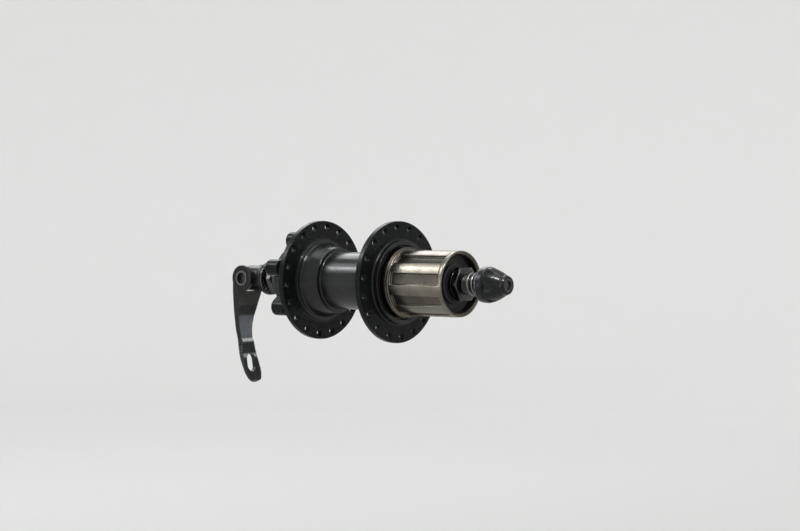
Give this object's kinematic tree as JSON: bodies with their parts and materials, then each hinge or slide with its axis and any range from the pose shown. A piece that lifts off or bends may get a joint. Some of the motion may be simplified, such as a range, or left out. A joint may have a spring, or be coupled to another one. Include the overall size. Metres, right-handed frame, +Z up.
{
  "type": "bicycle rear hub assembly",
  "caption": "Rear disc-brake bicycle hub: flanged shell, splined freehub with pawls and ratchet, cup-and-cone bearings, and a quick release with cam lever, skewer and cone nut.",
  "frame": {"origin": "on the axle axis, midway between the outer faces of the two locknuts", "axes": "+Y along the axle towards the quick-release lever, drive side -Y, +X forward, +Z up"},
  "size_m": [0.0646, 0.1877, 0.0909],
  "materials": {
    "shell_black": "black anodised, satin gloss",
    "freehub_steel": "satin bronze-grey plated steel",
    "axle_steel": "dark oiled steel",
    "bearing_steel": "polished bearing steel",
    "qr_black": "black coated alloy, satin",
    "cam_steel": "bright plated steel",
    "rubber_black": "matt black rubber",
    "nylon_black": "black nylon"
  },
  "bodies": {
    "axle": {"axle": "axle_steel", "left_cone": "axle_steel", "right_cone": "axle_steel", "left_cone_seal": "rubber_black", "right_cone_seal": "rubber_black", "left_spacer": "axle_steel", "right_spacer": "axle_steel", "left_lock_washer": "axle_steel", "right_lock_washer": "axle_steel", "left_locknut": "axle_steel", "right_locknut": "axle_steel"},
    "shell": {"hub_shell": "shell_black", "left_bearing_cup": "bearing_steel", "left_dust_cover": "axle_steel", "freehub_core": "bearing_steel", "freehub_fixing_bolt": "axle_steel", "freehub_cup_cone": "bearing_steel", "pawl_spring": "cam_steel"},
    "left_ball_row": {"left_balls": "bearing_steel"},
    "right_ball_row": {"right_balls": "bearing_steel"},
    "pawl_1": {"pawl_1": "bearing_steel"},
    "pawl_2": {"pawl_2": "bearing_steel"},
    "pawl_3": {"pawl_3": "bearing_steel"},
    "freehub": {"freehub_body": "freehub_steel", "ratchet_ring": "freehub_steel", "outer_race_ring": "bearing_steel", "freehub_dust_seal": "rubber_black"},
    "freehub_inner_row": {"freehub_inner_balls": "bearing_steel"},
    "freehub_outer_row": {"freehub_outer_balls": "bearing_steel"},
    "qr_spring": {"left_spring": "cam_steel"},
    "qr": {"qr_housing": "qr_black", "qr_clamp_ring": "axle_steel"},
    "lever": {"qr_lever": "qr_black", "cam_shaft": "cam_steel", "cam_cap_nut": "qr_black"},
    "skewer": {"skewer_rod": "axle_steel"},
    "nut_spring": {"right_spring": "cam_steel"},
    "nut": {"qr_nut": "qr_black", "nut_insert": "nylon_black", "nut_clamp_ring": "axle_steel"}
  },
  "joints": [
    {"name": "shell_spin", "type": "hinge", "parent": "axle", "child": "shell", "pos_m": [0, 0, 0], "axis": [0, 1, 0], "continuous": true},
    {"name": "left_ball_orbit", "type": "hinge", "parent": "axle", "child": "left_ball_row", "pos_m": [0, 0.049, 0], "axis": [0, 1, 0], "continuous": true},
    {"name": "right_ball_orbit", "type": "hinge", "parent": "axle", "child": "right_ball_row", "pos_m": [0, -0.0535, 0], "axis": [0, 1, 0], "continuous": true},
    {"name": "freehub_spin", "type": "hinge", "parent": "shell", "child": "freehub", "pos_m": [0, -0.044, 0], "axis": [0, 1, 0], "continuous": true},
    {"name": "freehub_inner_orbit", "type": "hinge", "parent": "shell", "child": "freehub_inner_row", "pos_m": [0, -0.03, 0], "axis": [0, 1, 0], "continuous": true},
    {"name": "freehub_outer_orbit", "type": "hinge", "parent": "shell", "child": "freehub_outer_row", "pos_m": [0, -0.046, 0], "axis": [0, 1, 0], "continuous": true},
    {"name": "pawl_1_swing", "type": "hinge", "parent": "shell", "child": "pawl_1", "pos_m": [0.01005, -0.0356, 0.00366], "axis": [0, 1, 0], "range_deg": [0, 18]},
    {"name": "pawl_2_swing", "type": "hinge", "parent": "shell", "child": "pawl_2", "pos_m": [-0.0082, -0.0356, 0.00688], "axis": [0, 1, 0], "range_deg": [0, 18]},
    {"name": "pawl_3_swing", "type": "hinge", "parent": "shell", "child": "pawl_3", "pos_m": [-0.00186, -0.0356, -0.01054], "axis": [0, 1, 0], "range_deg": [0, 18]},
    {"name": "qr_slide", "type": "slide", "parent": "axle", "child": "qr_spring", "axis": [0, 1, 0], "range_m": [-0.002, 0.002]},
    {"name": "qr_turn", "type": "hinge", "parent": "qr_spring", "child": "qr", "pos_m": [0, 0.08, 0], "axis": [0, 1, 0], "continuous": true},
    {"name": "lever_cam", "type": "hinge", "parent": "qr", "child": "lever", "pos_m": [0, 0.086, 0], "axis": [1, 0, 0], "range_deg": [0, 180]},
    {"name": "skewer_draw", "type": "slide", "parent": "qr", "child": "skewer", "axis": [0, 1, 0], "range_m": [-0.00141, 0]},
    {"name": "nut_travel", "type": "slide", "parent": "skewer", "child": "nut_spring", "axis": [0, 1, 0], "range_m": [-0.00161, 0.00161]},
    {"name": "nut_turn", "type": "hinge", "parent": "nut_spring", "child": "nut", "pos_m": [0, -0.0865, 0], "axis": [0, 1, 0], "range_deg": [-720, 720]}
  ],
  "couplings": [
    {"joint": "left_ball_orbit", "follows": "shell_spin", "ratio": 0.616},
    {"joint": "right_ball_orbit", "follows": "shell_spin", "ratio": 0.619},
    {"joint": "freehub_inner_orbit", "follows": "freehub_spin", "ratio": 0.555},
    {"joint": "freehub_outer_orbit", "follows": "freehub_spin", "ratio": 0.555},
    {"joint": "skewer_draw", "follows": "lever_cam", "m_per_rad": -0.00044563},
    {"joint": "nut_travel", "follows": "nut_turn", "m_per_rad": 0.00012732}
  ]
}
